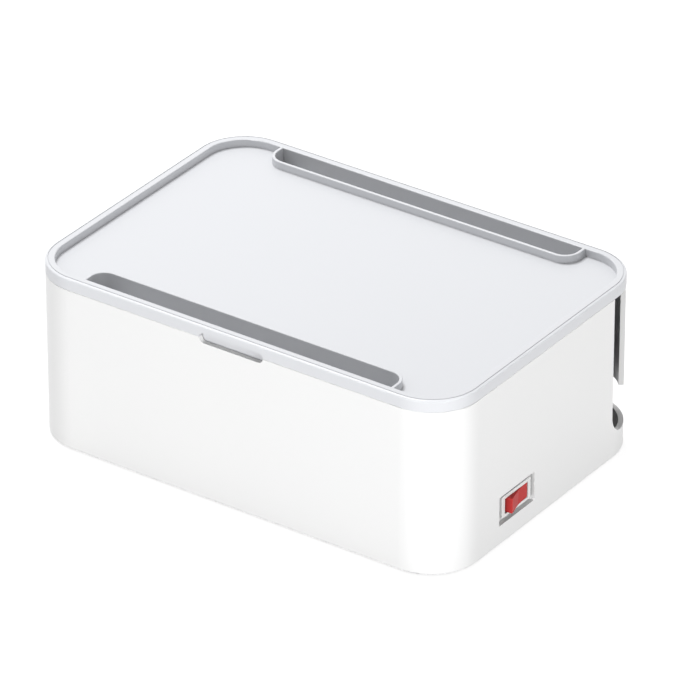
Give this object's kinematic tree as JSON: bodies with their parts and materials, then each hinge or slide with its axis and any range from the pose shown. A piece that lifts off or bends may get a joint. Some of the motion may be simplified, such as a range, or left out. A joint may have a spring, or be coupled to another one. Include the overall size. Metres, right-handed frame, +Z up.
{
  "type": "cable management box",
  "caption": "White desk box with rounded corners that hides a power strip and its cords, with a lift-off tray lid, phone slots, rear corner cord outlets and a red rocker switch.",
  "frame": {"origin": "middle of the box's footprint, on the surface that its feet stand on", "axes": "+X along the long side towards the end with the switch, -Y towards the front with the finger notch, +Z up"},
  "size_m": [0.3024, 0.209, 0.1166],
  "materials": {
    "case_plastic": "smooth white moulded plastic, satin gloss",
    "lid_plastic": "smooth faintly cool white moulded plastic, satin gloss",
    "rubber": "matt black rubber",
    "strip_plastic": "fine textured white moulded plastic",
    "socket_plastic": "pale grey heat resistant plastic",
    "screw_steel": "zinc plated steel",
    "contact_brass": "stamped brass strip",
    "contact_copper": "silver faced copper blade",
    "switch_plastic": "white moulded plastic",
    "rocker_red": "translucent red moulded plastic, polished",
    "plunger_plastic": "natural acetal",
    "spring_steel": "bright spring wire",
    "lamp_glass": "clear neon lamp",
    "circuit_board": "green circuit board",
    "port_steel": "nickel plated shell",
    "port_plastic": "black insulator",
    "ferrite": "dark ferrite with a taped winding",
    "capacitor_can": "sleeved aluminium can",
    "wire_brown": "brown insulated wire",
    "wire_blue": "blue insulated wire",
    "gland_rubber": "soft white grommet"
  },
  "bodies": {
    "box": {"box_shell": "case_plastic", "rubber_feet": "rubber", "strip_base": "strip_plastic", "strip_cover": "strip_plastic", "strip_screws": "screw_steel", "mount_screws": "screw_steel", "live_rail": "contact_brass", "neutral_rail": "contact_brass", "earth_rail": "contact_brass", "switch_housing": "switch_plastic", "switch_terminals": "contact_brass", "usb_board": "circuit_board", "usb_a_shells": "port_steel", "usb_a_tongues": "port_plastic", "usb_c_shell": "port_steel", "usb_c_tongue": "port_plastic", "transformer": "ferrite", "capacitors": "capacitor_can", "live_link": "wire_brown", "lamp_link": "wire_blue", "usb_leads": "wire_blue", "cord_gland": "gland_rubber", "socket_cup_1": "socket_plastic", "socket_cup_2": "socket_plastic", "socket_cup_3": "socket_plastic", "socket_cup_4": "socket_plastic"},
    "lid": {"lid_tray": "lid_plastic"},
    "rocker": {"switch_rocker": "rocker_red", "switch_plunger": "plunger_plastic", "plunger_spring": "spring_steel", "pilot_lamp": "lamp_glass"},
    "blade": {"switch_blade": "contact_copper"}
  },
  "joints": [
    {"name": "lid_lift", "type": "slide", "parent": "box", "child": "lid", "axis": [0, 0, 1], "range_m": [0, 0.12]},
    {"name": "rocker_tilt", "type": "hinge", "parent": "box", "child": "rocker", "pos_m": [0.144, -0.03025, 0.0232], "axis": [0, 0, -1], "range_deg": [0, 20]},
    {"name": "blade_tilt", "type": "hinge", "parent": "box", "child": "blade", "pos_m": [0.13754, -0.03025, 0.0232], "axis": [0, 0, 1], "range_deg": [0, 20]}
  ],
  "couplings": [
    {"joint": "blade_tilt", "follows": "rocker_tilt", "ratio": 1}
  ]
}
